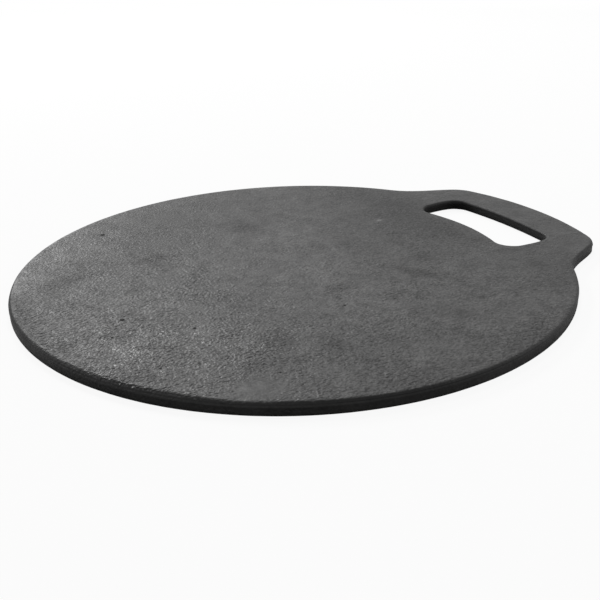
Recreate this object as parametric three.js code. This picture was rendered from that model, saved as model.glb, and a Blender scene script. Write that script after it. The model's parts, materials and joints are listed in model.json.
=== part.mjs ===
// A flat cast iron griddle plate: a round plate with a slotted handle tab, poured as one casting.
//
// Lengths are in millimetres and +Z is up. The origin lies on the underside, at the centre of the
// round plate, and the handle points along +X. The outline is drawn at the widest line of the rim,
// where the two halves of the sand mould met. Above and below that line the walls lean inwards,
// so that the pattern could leave the sand.

import * as THREE from "three";

const degrees = THREE.MathUtils.degToRad;

// Round plate
const disc_diameter = 300;
const plate_thickness = 6.3;

// Handle tab: its outer edge is concentric with the plate, and its sides spread out to the plate
const handle_reach = 24.5;
const grip_bar_width = 25.5;
const handle_end_width = 17.9;
const handle_side_flare = 17.4;
const handle_corner_radius = 19.5;
const handle_root_fillet = 36;

// Hand slot: its inner edge is concentric with the plate, and its outer edge is flatter
const slot_length = 86.6;
const slot_width = 29.7;
const slot_outer_edge_radius = 286;
const slot_inner_corner_radius = 9.7;
const slot_outer_corner_radius = 8.7;

// Rim and slot walls, in section
const top_edge_rounding = 1.6;
const bottom_edge_rounding = 0.9;
const mould_line_depth_share = 0.31;
const rim_upper_draft = degrees(20);
const rim_lower_draft = degrees(1.5);
const slot_upper_draft = degrees(6);
const slot_lower_draft = degrees(13);

// Fineness of the facets: how far a flat facet may lie inside its arc, and facets on an edge
const outline_facet_gap = 0.03;
const edge_facets = 3;

const black_iron = new THREE.MeshStandardMaterial({
  color: 0x343332,
  roughness: 0.62,
  metalness: 0.35,
});

// The outline's stretches are lists of { point, outward }, where outward is a unit vector that
// points away from the iron. That makes every wall level an exact offset of the same outline.

function polar(angle, radius = 1) {
  return new THREE.Vector2(Math.cos(angle), Math.sin(angle)).multiplyScalar(radius);
}

// A round stretch of an outline. Side is 1 where the iron lies inside the arc, and -1 where the
// iron lies outside it, as it does at the root fillet and on all but the slot's inner edge.
function arc_stretch(centre, radius, start, end, side) {
  const facet_angle = 2 * Math.acos(1 - outline_facet_gap / radius);
  const count = Math.max(1, Math.ceil(Math.abs(end - start) / facet_angle));
  const stretch = [];
  for (let i = 0; i <= count; i++) {
    const angle = start + ((end - start) * i) / count;
    stretch.push({
      point: polar(angle, radius).add(centre),
      outward: polar(angle, side),
    });
  }
  return stretch;
}

// Joins the stretches of one half, from the handle's axis round to the axis again, and adds the
// mirrored half. Where two stretches meet, or the halves do, their common point is kept once.
function mirrored_outline(stretches) {
  const half = stretches.flatMap((stretch, i) => (i === 0 ? stretch : stretch.slice(1)));
  const other_half = half.slice(1, -1).reverse().map(({ point, outward }) => ({
    point: new THREE.Vector2(point.x, -point.y),
    outward: new THREE.Vector2(outward.x, -outward.y),
  }));
  return [...half, ...other_half];
}

// The point at centre_distance from the plate's centre on the line that lies at line_distance from
// it, with the given normal. Of the line's two such points it is the one nearer the handle's end.
function point_on_line(normal, line_distance, centre_distance) {
  const along = new THREE.Vector2(normal.y, -normal.x);
  const run = Math.sqrt(centre_distance ** 2 - line_distance ** 2);
  return normal.clone().multiplyScalar(line_distance).addScaledVector(along, run);
}

function plate_outline() {
  const disc_radius = disc_diameter / 2;
  const outer_radius = disc_radius + handle_reach;
  const corner_half_width = slot_length / 2 + handle_end_width;
  const root_half_width = corner_half_width + handle_side_flare;
  const corner = new THREE.Vector2(
    Math.sqrt(outer_radius ** 2 - corner_half_width ** 2),
    corner_half_width,
  );
  const root = new THREE.Vector2(
    Math.sqrt(disc_radius ** 2 - root_half_width ** 2),
    root_half_width,
  );
  const side_run = corner.clone().sub(root).normalize();
  const side_normal = new THREE.Vector2(-side_run.y, side_run.x);
  const side_distance = side_normal.dot(corner);

  const corner_centre = point_on_line(
    side_normal,
    side_distance - handle_corner_radius,
    outer_radius - handle_corner_radius,
  );
  const root_centre = point_on_line(
    side_normal,
    side_distance + handle_root_fillet,
    disc_radius + handle_root_fillet,
  );
  const side_angle = side_normal.angle();
  const plate_centre = new THREE.Vector2();
  return mirrored_outline([
    arc_stretch(plate_centre, outer_radius, 0, corner_centre.angle(), 1),
    arc_stretch(corner_centre, handle_corner_radius, corner_centre.angle(), side_angle, 1),
    arc_stretch(
      root_centre,
      handle_root_fillet,
      side_angle - Math.PI,
      root_centre.angle() - Math.PI,
      -1,
    ),
    arc_stretch(plate_centre, disc_radius, root_centre.angle(), Math.PI, 1),
  ]);
}

function slot_outline() {
  const outer_edge = disc_diameter / 2 + handle_reach - grip_bar_width;
  const inner_radius = outer_edge - slot_width;
  const half_length = slot_length / 2;
  const plate_centre = new THREE.Vector2();
  const outer_edge_centre = new THREE.Vector2(outer_edge - slot_outer_edge_radius, 0);

  const inner_corner_y = half_length - slot_inner_corner_radius;
  const inner_corner_centre = new THREE.Vector2(
    Math.sqrt((inner_radius + slot_inner_corner_radius) ** 2 - inner_corner_y ** 2),
    inner_corner_y,
  );
  const outer_corner_y = half_length - slot_outer_corner_radius;
  const outer_corner_run = Math.sqrt(
    (slot_outer_edge_radius - slot_outer_corner_radius) ** 2 - outer_corner_y ** 2,
  );
  const outer_corner_centre = new THREE.Vector2(
    outer_edge_centre.x + outer_corner_run,
    outer_corner_y,
  );
  const inner_angle = inner_corner_centre.angle();
  const outer_angle = outer_corner_centre.clone().sub(outer_edge_centre).angle();
  return mirrored_outline([
    arc_stretch(plate_centre, inner_radius, 0, inner_angle, 1),
    arc_stretch(
      inner_corner_centre,
      slot_inner_corner_radius,
      inner_angle + Math.PI,
      Math.PI / 2,
      -1,
    ),
    arc_stretch(
      outer_corner_centre,
      slot_outer_corner_radius,
      Math.PI / 2,
      outer_angle,
      -1,
    ),
    arc_stretch(outer_edge_centre, slot_outer_edge_radius, outer_angle, 0, -1),
  ]);
}

// The wall in section, from the top face down to the underside: how far each level lies in from
// the mould line, and how high. Both edges are round, and each arc runs into its leaning wall.
function wall_section(upper_draft, lower_draft) {
  const mould_line_height = plate_thickness * (1 - mould_line_depth_share);
  const upper_wall = plate_thickness - mould_line_height;
  const upper = edge_arc(top_edge_rounding, upper_draft, upper_wall);
  const lower = edge_arc(bottom_edge_rounding, lower_draft, mould_line_height).reverse();
  return [
    ...upper.map(({ inset, rise }) => ({ inset, height: mould_line_height + rise })),
    { inset: 0, height: mould_line_height },
    ...lower.map(({ inset, rise }) => ({ inset, height: mould_line_height - rise })),
  ];
}

// A rounded edge at the end of a leaning wall, from the flat face to the wall. Rise is measured
// from the mould line towards the face. The rounding can't be larger than its wall allows.
function edge_arc(rounding, draft, wall_height) {
  const radius = Math.min(rounding, wall_height);
  const arc_rise = radius * (1 - Math.sin(draft));
  const wall_inset = (wall_height - arc_rise) * Math.tan(draft);
  const face_inset = wall_inset + radius * Math.cos(draft);
  const arc = [];
  for (let i = 0; i <= edge_facets; i++) {
    const turn = ((Math.PI / 2 - draft) * i) / edge_facets;
    arc.push({
      inset: face_inset - radius * Math.sin(turn),
      rise: wall_height - radius * (1 - Math.cos(turn)),
    });
  }
  return arc;
}

// One closed skin: a ring of points for each level of each wall, strips between the rings, and
// the top face and the underside filled between the plate's ring and the slot's ring.
function cast_geometry() {
  const walls = [
    { outline: plate_outline(), section: wall_section(rim_upper_draft, rim_lower_draft) },
    { outline: slot_outline(), section: wall_section(slot_upper_draft, slot_lower_draft) },
  ];
  const positions = [];
  const triangles = [];
  for (const wall of walls) {
    wall.rings = wall.section.map(({ inset, height }) => {
      const first = positions.length / 3;
      for (const { point, outward } of wall.outline) {
        const place = point.clone().addScaledVector(outward, -inset);
        positions.push(place.x, place.y, height);
      }
      return wall.outline.map((_, i) => first + i);
    });
    for (let level = 1; level < wall.rings.length; level++) {
      add_strip(triangles, wall.rings[level - 1], wall.rings[level]);
    }
  }
  add_face(positions, triangles, walls.map(({ rings }) => rings[0]), false);
  add_face(positions, triangles, walls.map(({ rings }) => rings.at(-1)), true);

  const geometry = new THREE.BufferGeometry();
  geometry.setAttribute("position", new THREE.Float32BufferAttribute(positions, 3));
  geometry.setIndex(triangles);
  geometry.computeVertexNormals();
  return geometry;
}

// The plate's outline runs anticlockwise and the slot's runs clockwise, so the iron is always on
// the left of the way along a ring, and one order of the corners suits both walls.
function add_strip(triangles, upper, lower) {
  for (let i = 0; i < upper.length; i++) {
    const next = (i + 1) % upper.length;
    triangles.push(upper[i], lower[i], lower[next]);
    triangles.push(upper[i], lower[next], upper[next]);
  }
}

function add_face(positions, triangles, [plate_ring, slot_ring], faces_down) {
  const flat = (ring) => ring.map((i) => new THREE.Vector2(positions[3 * i], positions[3 * i + 1]));
  const corners = [...plate_ring, ...slot_ring];
  for (const [a, b, c] of THREE.ShapeUtils.triangulateShape(flat(plate_ring), [flat(slot_ring)])) {
    const triangle = [corners[a], corners[b], corners[c]];
    triangles.push(...(faces_down ? triangle.reverse() : triangle));
  }
}

const griddle = new THREE.Group();
const cast_plate = new THREE.Mesh(cast_geometry(), black_iron);
cast_plate.name = "cast_plate";
griddle.add(cast_plate);

export default griddle;
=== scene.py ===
import json
import math

import bmesh
import bpy
import numpy as np
from mathutils import Matrix, Vector
from mathutils.geometry import delaunay_2d_cdt
from mathutils.kdtree import KDTree


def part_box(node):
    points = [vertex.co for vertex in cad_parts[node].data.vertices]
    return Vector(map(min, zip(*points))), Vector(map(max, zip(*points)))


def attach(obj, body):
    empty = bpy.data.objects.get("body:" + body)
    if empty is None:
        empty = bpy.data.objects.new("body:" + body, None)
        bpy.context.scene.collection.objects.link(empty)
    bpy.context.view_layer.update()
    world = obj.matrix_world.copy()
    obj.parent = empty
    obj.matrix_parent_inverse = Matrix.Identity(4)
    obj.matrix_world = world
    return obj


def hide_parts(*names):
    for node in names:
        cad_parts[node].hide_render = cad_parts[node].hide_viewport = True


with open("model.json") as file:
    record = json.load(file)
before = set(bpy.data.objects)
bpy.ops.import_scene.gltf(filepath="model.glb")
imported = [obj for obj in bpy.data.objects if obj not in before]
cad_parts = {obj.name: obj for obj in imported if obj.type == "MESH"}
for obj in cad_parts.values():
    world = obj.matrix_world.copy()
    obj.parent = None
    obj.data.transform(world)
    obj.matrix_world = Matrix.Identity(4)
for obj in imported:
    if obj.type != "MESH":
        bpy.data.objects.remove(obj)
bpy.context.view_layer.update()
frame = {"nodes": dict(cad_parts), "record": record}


# The casting: a flat griddle plate of black iron with a slotted handle tab, poured in one piece
# in a sand mould. Its outline and the section of its walls are read from the frame's casting.
# Here the walls get finer rings, and both faces get small triangles that can carry the relief.

MM = 0.001
PLATE_NODE = "cast_plate"

ring_spacing = 1.4 * MM
edge_arc_step = 0.22 * MM
top_face_spacing = 1.25 * MM
underside_spacing = 2.6 * MM
point_jitter = 0.3
point_seed = 7
edge_clearance_share = 0.7
weld_distance = 0.001 * MM
hand_slot_margin = 14 * MM

# The frame's rings, counted from the top: three on each round edge, and the mould line's between.
top_edge_rings = (0, 1, 3)
mould_line_ring = 4
bottom_edge_rings = (5, 7, 8)

# Where the two halves of the mould met, the flash was ground off and left a low ridge. The finer
# rings on the flat of a wall lie at these shares of the way to the ridge's foot.
mould_ridge_height = 0.12 * MM
mould_ridge_half_width = 0.45 * MM
flat_wall_shares = (0.3, 0.65, 1.0)

# Above the mould line the rim was dressed on a grinding wheel, which cut it back further on the
# side away from the handle: (degrees round the plate, spread in degrees, depth of the cut).
rim_dressing = (
    (-150, 26, 1.35 * MM),
    (-139, 6, 0.8 * MM),
    (-118, 12, 0.5 * MM),
)

# Pinholes in the top, where gas was caught under the skin: (x, y, radius, depth) in millimetres.
# Each has two rings of points: (share of its radius, share of its depth).
pinhole_sides = 8
pinhole_rings = ((0.55, 0.85), (1.0, 0.0))
pinhole_clearance_share = 0.5
pinholes = (
    (-104, -20, 1.2, 1.4),
    (-78, -47, 0.9, 0.9),
    (-74, 104, 1.4, 1.2),
    (-106, -76, 0.8, 0.6),
    (-90, -81, 0.7, 0.6),
    (-64, -106, 0.7, 0.6),
    (-5, -62, 0.8, 0.8),
    (-114, -36, 0.7, 0.6),
)

# Shallow dents in the top, where loose sand lay in the mould: (x, y, length, width, angle, depth),
# in millimetres and degrees. They end above the mould line.
dented_height = 1.7 * MM
dents = (
    (-113, 38, 23, 19, 0, 0.5),
    (-62, 48, 20, 15, 0, 0.2),
    (4, 69, 20, 24, 10, 0.25),
    (51, -48, 12, 30, 30, 0.2),
    (-80, -116, 30, 14, -10, 0.3),
)

# How light the finish is at each height of a wall, as (height in mm, share of the faces' tone).
# This is painted shade: the walls are darker than the faces, the rim's round top edge and the
# slot's walls darkest.
rim_painted_shade = ((0, 0.7), (4.15, 0.7), (4.4, 0.6), (5.2, 0.3), (6.0, 0.1), (6.25, 1.0))
slot_painted_shade = ((0, 1.0), (0.4, 0.3), (5.8, 0.3), (6.2, 1.0))

# How smooth the iron is at each height of a wall, as (height in mm, smoothness), and in some places
# on the top, where the grinding wheel slipped over the edge or the sand was fine.
wall_smoothness = ((0, 0.0), (0.3, 1.0), (5.9, 1.0), (6.25, 0.6), (6.3, 0.35))
smooth_places = ((-80, -114, 27, 17, -10, 1.1), (-112, 38, 20, 18, 0, 0.5))


def cad_walls():
    """The frame's casting as two walls, the rim's and the slot's. A wall is a list of rings from
    the top down, and a ring is an array of points that starts on the handle's axis."""
    shell = bmesh.new()
    shell.from_mesh(frame["nodes"][PLATE_NODE].data)
    bmesh.ops.remove_doubles(shell, verts=shell.verts, dist=weld_distance)
    points = np.array([v.co for v in shell.verts])
    shell.free()
    low, high = np.array(frame["record"]["physics"]["openings"][0]["box_m"])
    middle = (low + high) / 2
    reach = (high - low) / 2 + hand_slot_margin
    in_slot = np.all(np.abs(points - middle)[:, :2] < reach[:2], axis=1)
    walls = []
    for wall, centre_x in ((points[~in_slot], 0), (points[in_slot], middle[0])):
        heights = np.round(wall[:, 2], 6)
        rings = []
        for height in sorted(set(heights), reverse=True):
            ring = wall[heights == height]
            turn = np.arctan2(ring[:, 1], ring[:, 0] - centre_x)
            turn = np.where(turn < -1e-5, turn + 2 * math.pi, turn)
            rings.append(ring[np.argsort(turn)])
        walls.append(rings)
    return walls


def smooth_outline(ring):
    """A closed ring, rounded by a spline through its points and spaced evenly. Returns the points
    and the unit vectors that point to the right of the way round."""
    closed = np.vstack([ring[-1:], ring, ring[:2]])[:, :2]
    chord = np.linalg.norm(np.diff(closed, axis=0), axis=1)
    knots = np.concatenate([[0], np.cumsum(chord)])
    slope = np.gradient(closed, knots, axis=0)
    count = round((knots[-2] - knots[1]) / ring_spacing)
    at = np.linspace(knots[1], knots[-2], count, endpoint=False)
    k = np.searchsorted(knots, at, side="right") - 1
    t = ((at - knots[k]) / chord[k])[:, None]
    width = chord[k][:, None]
    point = (
        (2 * t**3 - 3 * t**2 + 1) * closed[k]
        + (t**3 - 2 * t**2 + t) * width * slope[k]
        + (3 * t**2 - 2 * t**3) * closed[k + 1]
        + (t**3 - t**2) * width * slope[k + 1]
    )
    along = np.roll(point, -1, axis=0) - np.roll(point, 1, axis=0)
    along /= np.linalg.norm(along, axis=1)[:, None]
    return point, np.column_stack([along[:, 1], -along[:, 0]])


def arc_through(start, middle, end):
    """Points of the round edge that starts, passes and ends at three points of the section."""
    a, b, c = (Vector(p) for p in (start, middle, end))
    squares = [p.length_squared for p in (a, b, c)]
    divisor = 2 * (a.x * (b.y - c.y) + b.x * (c.y - a.y) + c.x * (a.y - b.y))
    centre = Vector((
        squares[0] * (b.y - c.y) + squares[1] * (c.y - a.y) + squares[2] * (a.y - b.y),
        squares[0] * (c.x - b.x) + squares[1] * (a.x - c.x) + squares[2] * (b.x - a.x),
    )) / divisor
    turn = (a - centre).angle_signed(c - centre)
    count = max(2, round(abs(turn) * (a - centre).length / edge_arc_step))
    arc = []
    for i in range(count + 1):
        spoke = a - centre
        spoke.rotate(Matrix.Rotation(-turn * i / count, 2))
        arc.append(tuple(centre + spoke))
    return arc


def wall_section(rings):
    """The wall in section from the top face down to the underside, as (inset, height): a round
    edge, a leaning wall, the mould line's ridge, the lower wall and the lower round edge."""
    mould_x = rings[mould_line_ring][0][0]
    coarse = [(abs(mould_x - ring[0][0]), ring[0][2]) for ring in rings]
    upper = arc_through(*(coarse[ring] for ring in top_edge_rings))
    lower = arc_through(*(coarse[ring] for ring in bottom_edge_rings))
    ridge = coarse[mould_line_ring]
    section = list(upper)
    section += recessed_wall(coarse[top_edge_rings[-1]], ridge)
    section.append(ridge)
    section += reversed(recessed_wall(coarse[bottom_edge_rings[0]], ridge))
    section += lower
    return section


def recessed_wall(edge, ridge):
    """The flat of a wall between its round edge and the mould line's ridge, a little recessed."""
    flat = []
    ridge_foot = 1 - mould_ridge_half_width / abs(ridge[1] - edge[1])
    for wall_share in flat_wall_shares:
        share = wall_share * ridge_foot
        inset = edge[0] + (ridge[0] - edge[0]) * share + mould_ridge_height
        flat.append((inset, edge[1] + (ridge[1] - edge[1]) * share))
    return flat


def dressed_depth(outline):
    """How much further in the wheel cut the rim's top edge, at each point of its outline."""
    turn = np.degrees(np.arctan2(outline[:, 1], outline[:, 0]))
    depth = np.zeros(len(outline))
    for centre, spread, cut in rim_dressing:
        away = (turn - centre + 180) % 360 - 180
        depth += cut * np.exp(-((away / spread) ** 2))
    return depth


def even_points(outlines, spacing, dice):
    """Points spread evenly inside the first outline and outside the second, clear of both."""
    low = outlines[0].min(axis=0)
    high = outlines[0].max(axis=0)
    row_height = spacing * math.sqrt(3) / 2
    columns = np.arange(low[0], high[0], spacing)
    rows = np.arange(low[1], high[1], row_height)
    x, y = np.meshgrid(columns, rows)
    x[1::2] += spacing / 2
    points = np.column_stack([x.ravel(), y.ravel()])
    points += dice.uniform(-point_jitter, point_jitter, points.shape) * spacing
    inside = np.zeros(len(points), dtype=bool)
    for outline in outlines:
        for a, b in zip(outline, np.roll(outline, -1, axis=0)):
            crosses = (a[1] > points[:, 1]) != (b[1] > points[:, 1])
            if a[1] != b[1]:
                cross_x = a[0] + (points[:, 1] - a[1]) * (b[0] - a[0]) / (b[1] - a[1])
                inside ^= crosses & (points[:, 0] < cross_x)
    points = points[inside]
    border = KDTree(sum(len(outline) for outline in outlines))
    for i, place in enumerate(np.vstack(outlines)):
        border.insert((place[0], place[1], 0), i)
    border.balance()
    clearance = edge_clearance_share * spacing
    clear = [border.find((p[0], p[1], 0))[2] > clearance for p in points]
    return points[clear]


def sink_pinholes(points, spacing):
    """Swaps the points round each pinhole for rings that go down its wall. Returns the points and
    how deep each of them lies."""
    depths = np.zeros(len(points))
    for x, y, radius, depth in pinholes:
        centre = np.array([x, y]) * MM
        away = np.linalg.norm(points - centre, axis=1)
        clear = away > radius * MM + pinhole_clearance_share * spacing
        hole = [centre]
        hole_depths = [depth * MM]
        for share, sunk in pinhole_rings:
            for i in range(pinhole_sides):
                turn = 2 * math.pi * (i + share) / pinhole_sides
                spoke = np.array([math.cos(turn), math.sin(turn)])
                hole.append(centre + spoke * radius * share * MM)
                hole_depths.append(depth * sunk * MM)
        points = np.vstack([points[clear], hole])
        depths = np.concatenate([depths[clear], hole_depths])
    return points, depths


def fill_face(outlines, first_indices, height, spacing, faces_up, dice, vertices, triangles):
    """Fills one face between the rim's ring and the slot's ring with small even triangles."""
    inner = even_points(outlines, spacing, dice)
    depths = np.zeros(len(inner))
    if faces_up:
        inner, depths = sink_pinholes(inner, spacing)
    places = np.vstack([*outlines, inner])
    edges = []
    start = 0
    for outline in outlines:
        count = len(outline)
        edges += [(start + i, start + (i + 1) % count) for i in range(count)]
        start += count
    only_inside = 1
    closest = 1e-9
    filled = delaunay_2d_cdt([Vector(p) for p in places], edges, [], only_inside, closest)
    slot_corners = range(len(outlines[0]), start)
    index = [first_indices[0] + i for i in range(len(outlines[0]))]
    index += [first_indices[1] + i for i in range(len(outlines[1]))]
    index += [len(vertices) + i for i in range(len(inner))]
    vertices += [(p[0], p[1], height - depth) for p, depth in zip(inner, depths)]
    for a, b, c in filled[2]:
        if a in slot_corners and b in slot_corners and c in slot_corners:
            continue
        side = np.cross(places[b] - places[a], places[c] - places[a])
        if (side > 0) != faces_up:
            b, c = c, b
        triangles.append((index[a], index[b], index[c]))


def oval_marks(places, marks):
    """The sum of soft oval marks at each place: (x, y, length, width, angle, strength)."""
    total = np.zeros(len(places))
    for x, y, length, width, angle, strength in marks:
        turn = math.radians(angle)
        along = (places[:, 0] - x) * math.cos(turn) + (places[:, 1] - y) * math.sin(turn)
        across = (places[:, 1] - y) * math.cos(turn) - (places[:, 0] - x) * math.sin(turn)
        away = (along / (length / 2)) ** 2 + (across / (width / 2)) ** 2
        total += strength * np.exp(-away)
    return total


def add_point_layer(mesh, name, values):
    layer = mesh.attributes.new(name, "FLOAT", "POINT")
    layer.data.foreach_set("value", values)


def casting_mesh():
    """One closed skin: fine rings down both walls, and the top face and underside filled in."""
    dice = np.random.default_rng(point_seed)
    vertices = []
    wall_painted_shades = []
    smoothness = []
    triangles = []
    top_edges = []
    bottom_edges = []
    top_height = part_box(PLATE_NODE)[1].z
    for rings in cad_walls():
        mould_ring = rings[mould_line_ring]
        outline, outward = smooth_outline(mould_ring)
        dressed = dressed_depth(outline)
        painted_shades = rim_painted_shade
        if rings[0][0][0] > mould_ring[0][0]:
            outline = outline[::-1]
            outward = -outward[::-1]
            dressed = np.zeros(len(outline))
            painted_shades = slot_painted_shade
        section = wall_section(rings)
        count = len(outline)
        starts = []
        levels = []
        for inset, height in section:
            above = max(0, (height - mould_ring[0][2]) / (top_height - mould_ring[0][2]))
            level = outline - outward * (inset + dressed * above)[:, None]
            starts.append(len(vertices))
            levels.append(level)
            vertices += [(p[0], p[1], height) for p in level]
            # Painted shade: each ring of a wall takes the darkening listed for its height.
            wall_painted_shades += [np.interp(height / MM, *zip(*painted_shades))] * count
            smoothness += [np.interp(height / MM, *zip(*wall_smoothness))] * count
        for upper, lower in zip(starts, starts[1:]):
            for i in range(count):
                j = (i + 1) % count
                triangles.append((upper + i, lower + i, lower + j))
                triangles.append((upper + i, lower + j, upper + j))
        top_edges.append((levels[0], starts[0]))
        bottom_edges.append((levels[-1], starts[-1]))
    for edges, spacing, height, faces_up in (
        (top_edges, top_face_spacing, top_height, True),
        (bottom_edges, underside_spacing, 0, False),
    ):
        outlines = [edge[0] for edge in edges]
        fill_face(outlines, [edge[1] for edge in edges], height, spacing, faces_up, dice,
                  vertices, triangles)
    vertices = np.array(vertices)
    on_top = vertices[:, 2] > top_height - dented_height
    vertices[on_top, 2] -= oval_marks(vertices[on_top] / MM, dents) * MM
    mesh = bpy.data.meshes.new("griddle_casting")
    mesh.from_pydata(vertices, [], triangles)
    mesh.shade_smooth()
    on_faces = len(vertices) - len(wall_painted_shades)
    add_point_layer(mesh, "wall_painted_shade", wall_painted_shades + [1.0] * on_faces)
    smoothness = np.array(smoothness + [0.0] * on_faces)
    smoothness[on_top] += oval_marks(vertices[on_top] / MM, smooth_places)
    add_point_layer(mesh, "smoothness", np.clip(smoothness, 0.0, 1.0))
    return mesh


# The skin of the casting is as the sand left it: broad swells, lumps where the sand was rammed
# unevenly, and a coarse grain. All of it lies inward of the true outline, so no size grows.

swell_length = 55 * MM
swell_depth = 0.10 * MM
lump_length = 11 * MM
lump_depth = 0.05 * MM
grain_length = 4.5 * MM
grain_depth = 0.035 * MM
skin_seed = 3.0
skin_detail = 2.0
skin_roughness = 0.5
skin_noise_range = (0.25, 0.75)


def add_node(tree, kind, inputs=None, **settings):
    """Adds a node, sets its settings, and fills its inputs with values or with other sockets."""
    made = tree.nodes.new(kind)
    for setting, value in settings.items():
        setattr(made, setting, value)
    for socket, value in (inputs or {}).items():
        if isinstance(value, bpy.types.NodeSocket):
            tree.links.new(value, made.inputs[socket])
        else:
            made.inputs[socket].default_value = value
    return made


def sand_cast_skin():
    """Geometry Nodes: presses the skin inward by three sizes of noise, and keeps how deep each
    point lies, from 0 to 1, for the material to read."""
    tree = bpy.data.node_groups.new("sand_cast_skin", "GeometryNodeTree")
    face = tree.interface
    face.new_socket("Casting", in_out="INPUT", socket_type="NodeSocketGeometry")
    for name in ("Swell Length", "Swell Depth", "Lump Length", "Lump Depth", "Grain Length",
                 "Grain Depth", "Seed"):
        face.new_socket(name, in_out="INPUT", socket_type="NodeSocketFloat")
    face.new_socket("Finish", in_out="INPUT", socket_type="NodeSocketMaterial")
    face.new_socket("Casting", in_out="OUTPUT", socket_type="NodeSocketGeometry")
    start = add_node(tree, "NodeGroupInput").outputs
    place = add_node(tree, "GeometryNodeInputPosition").outputs[0]
    depth = None
    total = None
    for size in ("Swell", "Lump", "Grain"):
        scale = add_node(tree, "ShaderNodeMath", {0: 1.0, 1: start[size + " Length"]},
                         operation="DIVIDE").outputs[0]
        noise = add_node(tree, "ShaderNodeTexNoise",
                         {"Vector": place, "W": start["Seed"], "Scale": scale,
                          "Detail": skin_detail, "Roughness": skin_roughness},
                         noise_dimensions="4D").outputs[0]
        level = add_node(tree, "ShaderNodeMapRange",
                         {"Value": noise, "From Min": skin_noise_range[0],
                          "From Max": skin_noise_range[1]}).outputs[0]
        part = add_node(tree, "ShaderNodeMath", {0: level, 1: start[size + " Depth"]},
                        operation="MULTIPLY").outputs[0]
        if depth is None:
            depth = part
            total = start[size + " Depth"]
        else:
            depth = add_node(tree, "ShaderNodeMath", {0: depth, 1: part}).outputs[0]
            total = add_node(tree, "ShaderNodeMath",
                             {0: total, 1: start[size + " Depth"]}).outputs[0]
    hollow = add_node(tree, "ShaderNodeMath", {0: depth, 1: total}, operation="DIVIDE").outputs[0]
    kept = add_node(tree, "GeometryNodeStoreNamedAttribute",
                    {"Geometry": start["Casting"], "Name": "hollow", "Value": hollow},
                    data_type="FLOAT", domain="POINT").outputs[0]
    normal = add_node(tree, "GeometryNodeInputNormal").outputs[0]
    inward = add_node(tree, "ShaderNodeMath", {0: depth, 1: -1.0}, operation="MULTIPLY").outputs[0]
    shift = add_node(tree, "ShaderNodeVectorMath", {0: normal, "Scale": inward},
                     operation="SCALE").outputs[0]
    pressed = add_node(tree, "GeometryNodeSetPosition",
                       {"Geometry": kept, "Offset": shift}).outputs[0]
    realized = add_node(tree, "GeometryNodeRealizeInstances", {"Geometry": pressed}).outputs[0]
    finished = add_node(tree, "GeometryNodeSetMaterial",
                        {"Geometry": realized, "Material": start["Finish"]}).outputs[0]
    add_node(tree, "NodeGroupOutput", {"Casting": finished})
    return tree


def socket_identifier(tree, name):
    for item in tree.interface.items_tree:
        if item.in_out == "INPUT" and item.name == name:
            return item.identifier


# The finish is seasoned black iron: oil burnt on in thin coats over the sand-cast grain. Marks
# on the top are mostly painted light and shade, as (x, y, length, width, angle, strength) on the
# cooking face, darker below nought and lighter above; the darker ones are also rougher and the
# lighter ones smoother. Broad lighter patches at the left and near the middle are painted sheen,
# and broad darker ones at the right, at the back, by the left rim and along the near edge are
# painted shade. Dark spots in the dents and in one pinhole are painted shade too. The other small
# spots make the tone darker in places, and one tiny spot lighter.

iron_colour = (0.049, 0.0485, 0.048)
iron_roughness = 0.5
iron_specular = 0.2

# The grain is coarsest at the side away from the handle. It fades towards the handle, and the
# dressed walls have little of it.
coarsest_place = (-110 * MM, -70 * MM, 6 * MM)
coarsest_share = 1.2
fine_share = 0.58
coarse_reach = 80 * MM
handle_share = 0.45
handle_fade = (0.10, 0.15)
wall_grain_share = 0.3
grain_patch_length = 24 * MM
grain_patch_range = (0.35, 0.65)
grain_patch_shares = (0.8, 1.2)

# Clouds, blotches and specks of tone, and how far each goes above and below the iron's own tone.
# The noise that makes them is read over the middle of its range.
cloud_length = 38 * MM
cloud_tone = 0.42
blotch_length = 9 * MM
blotch_tone = 0.36
speck_length = 1.9 * MM
speck_tone = 0.5
mark_tone = 0.6
ridge_tone = 0.06
hollow_tone = -0.08
noise_range = (0.3, 0.7)
hollow_range = (0.2, 0.8)

# How far the same features make the finish rougher or smoother.
cloud_roughness = 0.05
blotch_roughness = -0.06
speck_roughness = -0.06
mark_roughness = -0.08
hollow_roughness = -0.03

# The finest grain is too small for the mesh: low domes left by the sand grains, three sizes of
# ripple as (length, detail, height), and round pits.
sand_grain_length = 2.2 * MM
sand_grain_height = 0.3 * MM
sand_grain_edges = (0.12, 0.5)
ripples = (
    (1.0 * MM, 0.0, 0.35 * MM),
    (1.5 * MM, 0.0, 0.4 * MM),
    (4.5 * MM, 1.0, 0.2 * MM),
)
pit_spacing = 5 * MM
pit_depth = 0.25 * MM
pit_size_share = 0.15
smallest_pit_share = 0.001
pit_rarity = 0.4
pit_edges = (0.4, 1.0)

# The marks lie on the top face only, and never go further than this from the iron's own tone.
lowest_marked_height = 5
mark_limits = (-1.2, 2.5)
mark_breakup_range = (0.35, 0.6)
mark_breakup_shares = (0.5, 1.1)

# Painted light and shade on the top face, with a few small spots.
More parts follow.
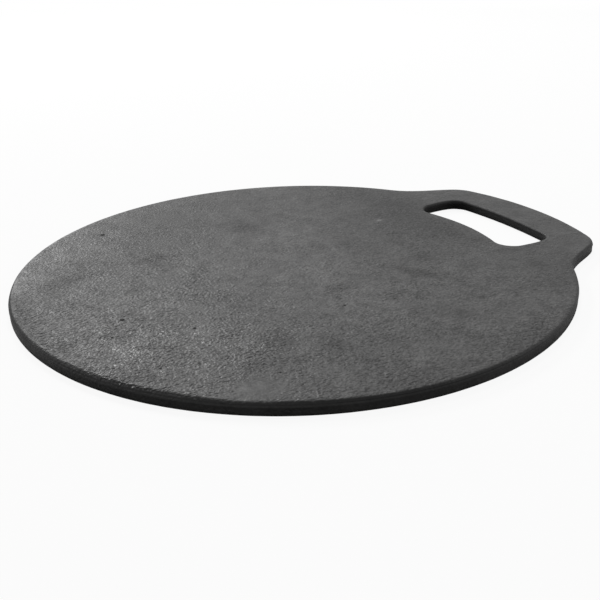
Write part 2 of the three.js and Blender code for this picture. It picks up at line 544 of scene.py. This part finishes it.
painted_light_and_spot_marks = (
    (-98, -52, 90, 84, -40, 1.0),
    (-142, -22, 18, 90, 12, -0.5),
    (-147, 18, 18, 56, 0, -0.9),
    (-100, -62, 50, 50, 0, 0.3),
    (-10, -76, 70, 40, 0, 0.35),
    (110, -80, 50, 40, 40, -0.35),
    (104, 98, 60, 50, -40, -0.6),
    (120, -20, 60, 200, 10, -0.4),
    (160, 0, 30, 130, 0, -0.4),
    (80, 36, 3.5, 3, 0, 4.0),
    (-128, 26, 44, 44, 0, -0.65),
    (114, 52, 60, 44, 0, -0.6),
    (-85, 54, 56, 30, 0, -0.5),
    (-58, -112, 110, 46, -35, 0.1),
    (-80, -111, 24, 10, -10, 0.4),
    (-15, -14, 70, 70, 0, 0.4),
    (40, -18, 40, 50, 0, -0.3),
    (22, 46, 24, 20, 0, 0.35),
    (20, 104, 110, 12, 0, 0.3),
    (80, 14, 76, 110, 8, -0.75),
    (10, 112, 210, 60, -8, -0.5),
    (-50, 84, 60, 40, 30, -0.6),
    (0, -141, 200, 18, 0, -0.45),
    # From here on: dark spots. Those in the dents and in one pinhole are painted shade.
    (-111, 43, 26, 16, 10, -1.0),
    (-62, 48, 20, 15, 0, -1.1),
    (-76, 104, 9, 8, 0, -1.2),
    (4, 69, 20, 24, 10, -1.2),
    (95, 53, 30, 18, 10, -0.8),
    (104, 2, 14, 60, 0, -0.6),
    (4, -41, 12, 10, 0, -1.1),
    (51, -48, 10, 30, 30, -1.4),
    (65, -29, 11, 10, 0, -1.1),
    (110, -71, 10, 12, 0, -0.8),
    (85, -92, 12, 9, 0, -0.5),
    (20, -88, 9, 8, 0, -1.2),
    (37, -99, 10, 9, 0, -1.2),
    (-30, -95, 10, 18, -10, -0.9),
    (-50, -80, 16, 20, 0, -0.6),
    (-74, -96, 12, 10, 0, -0.5),
)


def paint_marks(mesh, name, marks):
    """Keeps the sum of the soft oval marks on the top face as a point attribute."""
    places = np.empty(len(mesh.vertices) * 3)
    mesh.vertices.foreach_get("co", places)
    places = places.reshape(-1, 3) / MM
    strength = oval_marks(places, marks) * (places[:, 2] > lowest_marked_height)
    add_point_layer(mesh, name, np.clip(strength, *mark_limits))


def black_iron_material():
    material = bpy.data.materials.new("black_iron")
    material.use_nodes = True
    tree = material.node_tree
    tree.nodes.clear()
    place = add_node(tree, "ShaderNodeTexCoord").outputs["Object"]

    def attribute(name):
        return add_node(tree, "ShaderNodeAttribute", attribute_name=name).outputs["Fac"]

    def noise(length, detail=2.0, roughness=0.5, distortion=0.0):
        return add_node(tree, "ShaderNodeTexNoise",
                        {"Vector": place, "Scale": 1 / length, "Detail": detail,
                         "Roughness": roughness, "Distortion": distortion}).outputs[0]

    def math_node(operation, a, b):
        return add_node(tree, "ShaderNodeMath", {0: a, 1: b}, operation=operation).outputs[0]

    def remap(value, from_range, to_low, to_high):
        return add_node(tree, "ShaderNodeMapRange",
                        {"Value": value, "From Min": from_range[0], "From Max": from_range[1],
                         "To Min": to_low, "To Max": to_high}).outputs[0]

    cloud = noise(cloud_length, detail=3.0, roughness=0.55)
    blotch = noise(blotch_length, detail=3.0, roughness=0.75, distortion=0.4)
    speck = noise(speck_length, detail=1.0, roughness=0.7)
    # The top's painted light and shade, broken up by the blotch noise.
    mark = math_node("MULTIPLY", attribute("painted_light_and_spots"),
                     remap(blotch, mark_breakup_range, *mark_breakup_shares))
    hollow = attribute("hollow")

    along = add_node(tree, "ShaderNodeSeparateXYZ", {0: place}).outputs
    away = add_node(tree, "ShaderNodeVectorMath", {0: place, 1: coarsest_place},
                    operation="DISTANCE").outputs["Value"]
    grain = math_node("POWER", math.e, math_node("MULTIPLY", away, -1 / coarse_reach))
    grain = math_node("MULTIPLY", grain, coarsest_share)
    grain = math_node("ADD", grain, fine_share)
    grain = math_node("MULTIPLY", grain, remap(along["X"], handle_fade, 1.0, handle_share))
    grain = math_node("MULTIPLY", grain, remap(noise(grain_patch_length, detail=1.0),
                                               grain_patch_range, *grain_patch_shares))
    grain = math_node("MULTIPLY", grain, remap(attribute("smoothness"), (0.0, 1.0),
                                               1.0, wall_grain_share))

    tone = math_node("ADD", remap(cloud, noise_range, -cloud_tone, cloud_tone),
                     remap(blotch, noise_range, -blotch_tone, blotch_tone))
    tone = math_node("ADD", tone, math_node("MULTIPLY", grain,
                                            remap(speck, noise_range, -speck_tone, speck_tone)))
    tone = math_node("ADD", tone, remap(hollow, hollow_range, ridge_tone, hollow_tone))
    tone = math_node("ADD", tone, math_node("MULTIPLY", mark, mark_tone))
    tone = math_node("ADD", tone, 1.0)
    # The painted shade of the walls scales the tone down.
    tone = math_node("MULTIPLY", tone, attribute("wall_painted_shade"))
    colour = add_node(tree, "ShaderNodeVectorMath", {0: iron_colour, "Scale": tone},
                      operation="SCALE").outputs[0]

    rough = math_node("ADD", remap(cloud, noise_range, -cloud_roughness, cloud_roughness),
                      remap(blotch, noise_range, -blotch_roughness, blotch_roughness))
    rough = math_node("ADD", rough, remap(hollow, hollow_range, -hollow_roughness,
                                          hollow_roughness))
    rough = math_node("ADD", rough, math_node("MULTIPLY", grain,
                                              remap(speck, noise_range, -speck_roughness,
                                                    speck_roughness)))
    rough = math_node("ADD", rough, math_node("MULTIPLY", mark, mark_roughness))
    rough = math_node("ADD", rough, iron_roughness)

    def cell_chance(cell):
        return add_node(tree, "ShaderNodeSeparateColor", {0: cell["Color"]}).outputs[0]

    grain_cell = add_node(tree, "ShaderNodeTexVoronoi",
                          {"Vector": place, "Scale": 1 / sand_grain_length},
                          feature="F1").outputs
    raised = remap(cell_chance(grain_cell), (0.0, 1.0), -1.0, 1.0)
    dome = remap(grain_cell["Distance"], sand_grain_edges, 1.0, 0.0)
    height = math_node("MULTIPLY", math_node("MULTIPLY", dome, raised), sand_grain_height)
    for length, detail, ripple in ripples:
        height = math_node("ADD", height,
                           math_node("MULTIPLY", noise(length, detail), ripple))
    height = math_node("MULTIPLY", height, grain)
    pit_cell = add_node(tree, "ShaderNodeTexVoronoi",
                        {"Vector": place, "Scale": 1 / pit_spacing}, feature="F1").outputs
    pit_size = remap(cell_chance(pit_cell), (pit_rarity, 1.0), 0.0, pit_size_share)
    pit_size = math_node("MAXIMUM", pit_size, smallest_pit_share)
    pit = remap(math_node("DIVIDE", pit_cell["Distance"], pit_size), pit_edges, 1.0, 0.0)
    height = math_node("ADD", height, math_node("MULTIPLY", pit, -pit_depth))
    bump = add_node(tree, "ShaderNodeBump", {"Strength": 1.0, "Distance": 1.0, "Height": height})
    shader = add_node(tree, "ShaderNodeBsdfPrincipled",
                      {"Base Color": colour, "Roughness": rough,
                       "Specular IOR Level": iron_specular, "Normal": bump.outputs[0]})
    add_node(tree, "ShaderNodeOutputMaterial", {0: shader.outputs[0]})
    return material


griddle_mesh = casting_mesh()
griddle = bpy.data.objects.new("griddle_casting", griddle_mesh)
bpy.context.scene.collection.objects.link(griddle)
skin = griddle.modifiers.new("sand_cast_skin", "NODES")
skin.node_group = sand_cast_skin()
black_iron = black_iron_material()
for name, value in (
    ("Swell Length", swell_length),
    ("Swell Depth", swell_depth),
    ("Lump Length", lump_length),
    ("Lump Depth", lump_depth),
    ("Grain Length", grain_length),
    ("Grain Depth", grain_depth),
    ("Seed", skin_seed),
    ("Finish", black_iron),
):
    skin[socket_identifier(skin.node_group, name)] = value
depsgraph = bpy.context.evaluated_depsgraph_get()
cast_skin = bpy.data.meshes.new_from_object(
    griddle.evaluated_get(depsgraph), preserve_all_data_layers=True, depsgraph=depsgraph)
griddle.modifiers.remove(skin)
griddle.data = cast_skin
cast_skin.name = "griddle_casting"
# The top's painted light and shade, with its small spots, kept on the casting.
paint_marks(cast_skin, "painted_light_and_spots", painted_light_and_spot_marks)
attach(griddle, "root")
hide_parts(PLATE_NODE)


# The studio floor: a plain pale sheet under the plate. It takes the plate's shadow near it, and
# runs out to the even white of the photograph's background.

floor_half_width = 6.0
floor_grey = 0.2
floor_white = 0.97
floor_evenness = 0.92
floor_shadow_reach = 0.16
floor_even_reach = 1.5


def floor_material():
    material = bpy.data.materials.new("studio_floor")
    material.use_nodes = True
    tree = material.node_tree
    tree.nodes.clear()
    rays = add_node(tree, "ShaderNodeLightPath").outputs
    mirrored = add_node(tree, "ShaderNodeMath",
                        {0: rays["Is Glossy Ray"], 1: rays["Is Transmission Ray"]}).outputs[0]
    seen = add_node(tree, "ShaderNodeMath", {0: mirrored, 1: rays["Is Camera Ray"]}).outputs[0]
    place = add_node(tree, "ShaderNodeTexCoord").outputs["Object"]
    reach = add_node(tree, "ShaderNodeVectorMath", {0: place}, operation="LENGTH").outputs[1]
    far = add_node(tree, "ShaderNodeMapRange",
                   {"Value": reach, "From Min": floor_shadow_reach,
                    "From Max": floor_even_reach, "To Min": 0.0, "To Max": 1.0},
                   interpolation_type="SMOOTHSTEP").outputs[0]
    even = add_node(tree, "ShaderNodeMath",
                    {0: rays["Is Camera Ray"], 1: floor_evenness}, operation="MULTIPLY").outputs[0]
    even = add_node(tree, "ShaderNodeMath", {0: far, 1: even}, operation="MAXIMUM").outputs[0]
    lit = add_node(tree, "ShaderNodeBsdfDiffuse", {"Color": (floor_white,) * 3 + (1,)})
    white = add_node(tree, "ShaderNodeEmission", {"Color": (1, 1, 1, 1), "Strength": 1.0})
    backdrop = add_node(tree, "ShaderNodeMixShader",
                        {0: even, 1: lit.outputs[0], 2: white.outputs[0]})
    plain = add_node(tree, "ShaderNodeBsdfDiffuse", {"Color": (floor_grey,) * 3 + (1,)})
    mixed = add_node(tree, "ShaderNodeMixShader",
                     {0: seen, 1: plain.outputs[0], 2: backdrop.outputs[0]})
    add_node(tree, "ShaderNodeOutputMaterial", {0: mixed.outputs[0]})
    return material


floor_mesh = bpy.data.meshes.new("studio_floor")
w = floor_half_width
floor_mesh.from_pydata([(-w, -w, 0), (w, -w, 0), (w, w, 0), (-w, w, 0)], [], [(0, 1, 2, 3)])
floor = bpy.data.objects.new("studio_floor", floor_mesh)
bpy.context.scene.collection.objects.link(floor)
floor_mesh.materials.append(floor_material())


# The light: two soft panels behind the plate, a little to both sides of the camera's line, light
# the top and leave the near rim dark. A weak panel at the right opens up the rim's shadow.

room_grey = 0.14
panel_distance = 2.05

# Each panel is (name, turn, rise, width, depth, watts). Turn is in degrees from +Y towards +X, and
# rise is in degrees up from the floor.
soft_panels = (
    ("low_back_panel", -3, 30, 0.5, 0.4, 19.7),
    ("high_back_panel", 30, 50, 0.5, 0.4, 13.2),
    ("right_side_panel", 120, 30, 1.3, 0.9, 7),
)


def soft_panel(name, turn, rise, width, depth, watts):
    """A soft light aimed at the plate."""
    light = bpy.data.lights.new(name, "AREA")
    light.shape = "RECTANGLE"
    light.size = width
    light.size_y = depth
    light.energy = watts
    turn = math.radians(turn)
    rise = math.radians(rise)
    away = Vector((math.sin(turn) * math.cos(rise), math.cos(turn) * math.cos(rise),
                   math.sin(rise)))
    panel = bpy.data.objects.new(name, light)
    facing = away.to_track_quat("Z", "Y").to_matrix().to_4x4()
    panel.matrix_world = Matrix.Translation(away * panel_distance) @ facing
    panel.visible_camera = False
    bpy.context.scene.collection.objects.link(panel)


for panel in soft_panels:
    soft_panel(*panel)


def room_light():
    """White to the camera and in reflections. The light that it casts on the plate is dim."""
    room = bpy.data.worlds.new("pale_room")
    room.use_nodes = True
    tree = room.node_tree
    tree.nodes.clear()
    rays = add_node(tree, "ShaderNodeLightPath").outputs
    mirrored = add_node(tree, "ShaderNodeMath",
                        {0: rays["Is Glossy Ray"], 1: rays["Is Transmission Ray"]}).outputs[0]
    seen = add_node(tree, "ShaderNodeMath", {0: mirrored, 1: rays["Is Camera Ray"]}).outputs[0]
    strength = add_node(tree, "ShaderNodeMath", {0: seen, 1: room_grey},
                        operation="MAXIMUM").outputs[0]
    background = add_node(tree, "ShaderNodeBackground",
                          {"Color": (1, 1, 1, 1), "Strength": strength})
    add_node(tree, "ShaderNodeOutputWorld", {0: background.outputs[0]})
    return room


bpy.context.scene.world = room_light()


# The camera stands where the photograph's did, found from the plate's outline seen in
# perspective: a 54 mm lens, 24 degrees above the plate, rolled a little to the left.

camera_place = Vector((-0.214753, -0.403896, 0.186123))
view_tilt = math.radians(-23.7715)
view_turn = math.radians(28.3924)
view_roll = math.radians(-1.5538)
lens_length = 54
sensor_width = 36
nearest_seen = 0.01

lens = bpy.data.cameras.new("photo_camera")
lens.lens = lens_length
lens.sensor_width = sensor_width
lens.clip_start = nearest_seen
camera = bpy.data.objects.new("photo_camera", lens)
camera.matrix_world = (
    Matrix.Translation(camera_place)
    @ Matrix.Rotation(-view_turn, 4, "Z")
    @ Matrix.Rotation(math.pi / 2 + view_tilt, 4, "X")
    @ Matrix.Rotation(view_roll, 4, "Z")
)
bpy.context.scene.collection.objects.link(camera)
bpy.context.scene.camera = camera
bpy.context.scene.view_settings.view_transform = "Standard"
